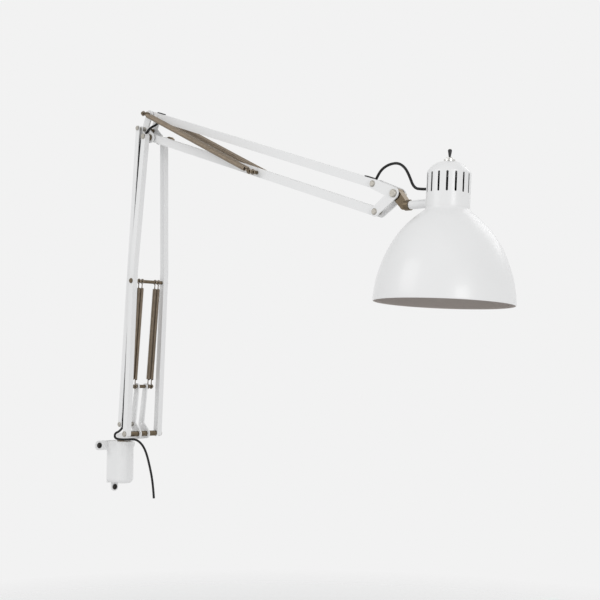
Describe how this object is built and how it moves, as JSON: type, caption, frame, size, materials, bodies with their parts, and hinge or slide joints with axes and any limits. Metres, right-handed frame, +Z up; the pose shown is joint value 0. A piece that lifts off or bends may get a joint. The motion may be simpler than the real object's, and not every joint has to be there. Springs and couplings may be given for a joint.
{
  "type": "wall lamp",
  "caption": "White articulating wall lamp with a spring-balanced two-part arm, a round bell shade with a slotted cap, and a black cord.",
  "frame": {"origin": "centre of the wall plate's rear face at the swivel's height zero, on the wall plane", "axes": "+X out of the wall into the room, +Z up, the arm plane is XZ"},
  "size_m": [0.6999, 0.1624, 0.5621],
  "materials": {
    "white_paint": "semi-gloss white enamel",
    "spring_steel": "oiled close-wound steel wire",
    "pin_steel": "dulled steel",
    "chrome": "polished",
    "black_rubber": "matt",
    "black_cord": "matt sheath",
    "black_plastic": "satin",
    "holder_plastic": "satin",
    "bulb_glass": "frosted"
  },
  "bodies": {
    "wall_bracket": {"wall_plate": "white_paint", "wall_housing": "white_paint"},
    "base_yoke": {"swivel_washer": "pin_steel", "swivel_stem": "pin_steel", "swivel_nut": "pin_steel", "base_yoke": "white_paint", "base_pin": "pin_steel", "base_spacers": "pin_steel", "link_pin": "pin_steel", "spring_post_pin": "pin_steel", "cord_base_loop": "black_cord", "cord_tail": "black_cord"},
    "lower_arm": {"lower_bar_front": "white_paint", "lower_bar_rear": "white_paint", "spring_rod": "pin_steel", "lower_spring_1": "spring_steel", "lower_spring_2": "spring_steel", "lower_spring_3": "spring_steel", "lower_spring_4": "spring_steel"},
    "lower_link": {"link_bar": "white_paint", "cord_link_run": "black_cord"},
    "knee": {"knee_plate_front": "white_paint", "knee_plate_rear": "white_paint", "knee_pin": "pin_steel", "knee_spacers": "pin_steel", "knee_knob": "pin_steel", "knee_link_pin": "pin_steel", "knee_stay": "pin_steel", "knee_top_pin": "pin_steel", "cord_knee_loop": "black_cord"},
    "upper_arm": {"upper_bar_low": "white_paint", "upper_spring_pin": "pin_steel", "upper_spring_1": "spring_steel", "upper_spring_2": "spring_steel", "upper_spring_3": "spring_steel", "upper_spring_4": "spring_steel"},
    "upper_link": {"upper_bar_top": "white_paint", "cord_strip_knee": "black_rubber", "cord_strip_head": "black_rubber", "cord_upper_run": "black_cord"},
    "head_fork": {"fork_plate_front": "white_paint", "fork_plate_rear": "white_paint", "fork_rivets": "pin_steel", "tilt_bolt": "pin_steel", "tilt_nut": "pin_steel", "cord_head_loop_a": "black_cord"},
    "knuckle": {"tilt_knuckle": "pin_steel", "cord_head_loop_b": "black_cord"},
    "head": {"stub_tube": "white_paint", "lamp_cap": "white_paint", "switch_collar": "chrome", "shade": "white_paint", "lamp_holder": "holder_plastic", "bulb": "bulb_glass", "cap_grommet": "black_rubber"},
    "switch": {"switch_lever": "black_plastic"}
  },
  "joints": [
    {"name": "swivel", "type": "hinge", "parent": "wall_bracket", "child": "base_yoke", "pos_m": [0.023, 0, 0.0266], "axis": [0, 0, 1], "range_deg": [-65, 65]},
    {"name": "lower_arm_tilt", "type": "hinge", "parent": "base_yoke", "child": "lower_arm", "pos_m": [0.066, 0, 0.038], "axis": [0, 1, 0], "range_deg": [-8, 50], "deforming": ["lower_spring_1", "lower_spring_2", "lower_spring_3", "lower_spring_4"]},
    {"name": "lower_link_tilt", "type": "hinge", "parent": "base_yoke", "child": "lower_link", "pos_m": [0.0535, 0, 0.0515], "axis": [0, 1, 0], "range_deg": [-8, 50], "deforming": ["cord_base_loop"]},
    {"name": "knee_level", "type": "hinge", "parent": "lower_arm", "child": "knee", "pos_m": [0.08626, 0, 0.46752], "axis": [0, 1, 0], "range_deg": [-50, 8], "deforming": ["cord_knee_loop"]},
    {"name": "upper_arm_tilt", "type": "hinge", "parent": "knee", "child": "upper_arm", "pos_m": [0.08626, 0, 0.46752], "axis": [0, 1, 0], "range_deg": [-45, 40], "deforming": ["upper_spring_1", "upper_spring_2", "upper_spring_3", "upper_spring_4"]},
    {"name": "upper_link_tilt", "type": "hinge", "parent": "knee", "child": "upper_link", "pos_m": [0.08326, 0, 0.50152], "axis": [0, 1, 0], "range_deg": [-45, 40]},
    {"name": "fork_level", "type": "hinge", "parent": "upper_arm", "child": "head_fork", "pos_m": [0.51647, 0, 0.31939], "axis": [0, 1, 0], "range_deg": [-40, 45]},
    {"name": "head_tilt", "type": "hinge", "parent": "head_fork", "child": "knuckle", "pos_m": [0.54647, 0, 0.33839], "axis": [0, 1, 0], "range_deg": [-60, 35], "deforming": ["cord_head_loop_a"]},
    {"name": "head_turn", "type": "hinge", "parent": "knuckle", "child": "head", "pos_m": [0.55947, 0, 0.32339], "axis": [0.9997, -0.0009, -0.0244], "range_deg": [-60, 60], "deforming": ["cord_head_loop_b"]},
    {"name": "switch_toggle", "type": "hinge", "parent": "head", "child": "switch", "pos_m": [0.62258, 0.00165, 0.36833], "axis": [0, 1, 0], "range_deg": [0, 16]}
  ],
  "couplings": [
    {"joint": "lower_link_tilt", "follows": "lower_arm_tilt", "ratio": 1},
    {"joint": "knee_level", "follows": "lower_arm_tilt", "ratio": -1},
    {"joint": "upper_link_tilt", "follows": "upper_arm_tilt", "ratio": 1},
    {"joint": "fork_level", "follows": "upper_arm_tilt", "ratio": -1}
  ]
}
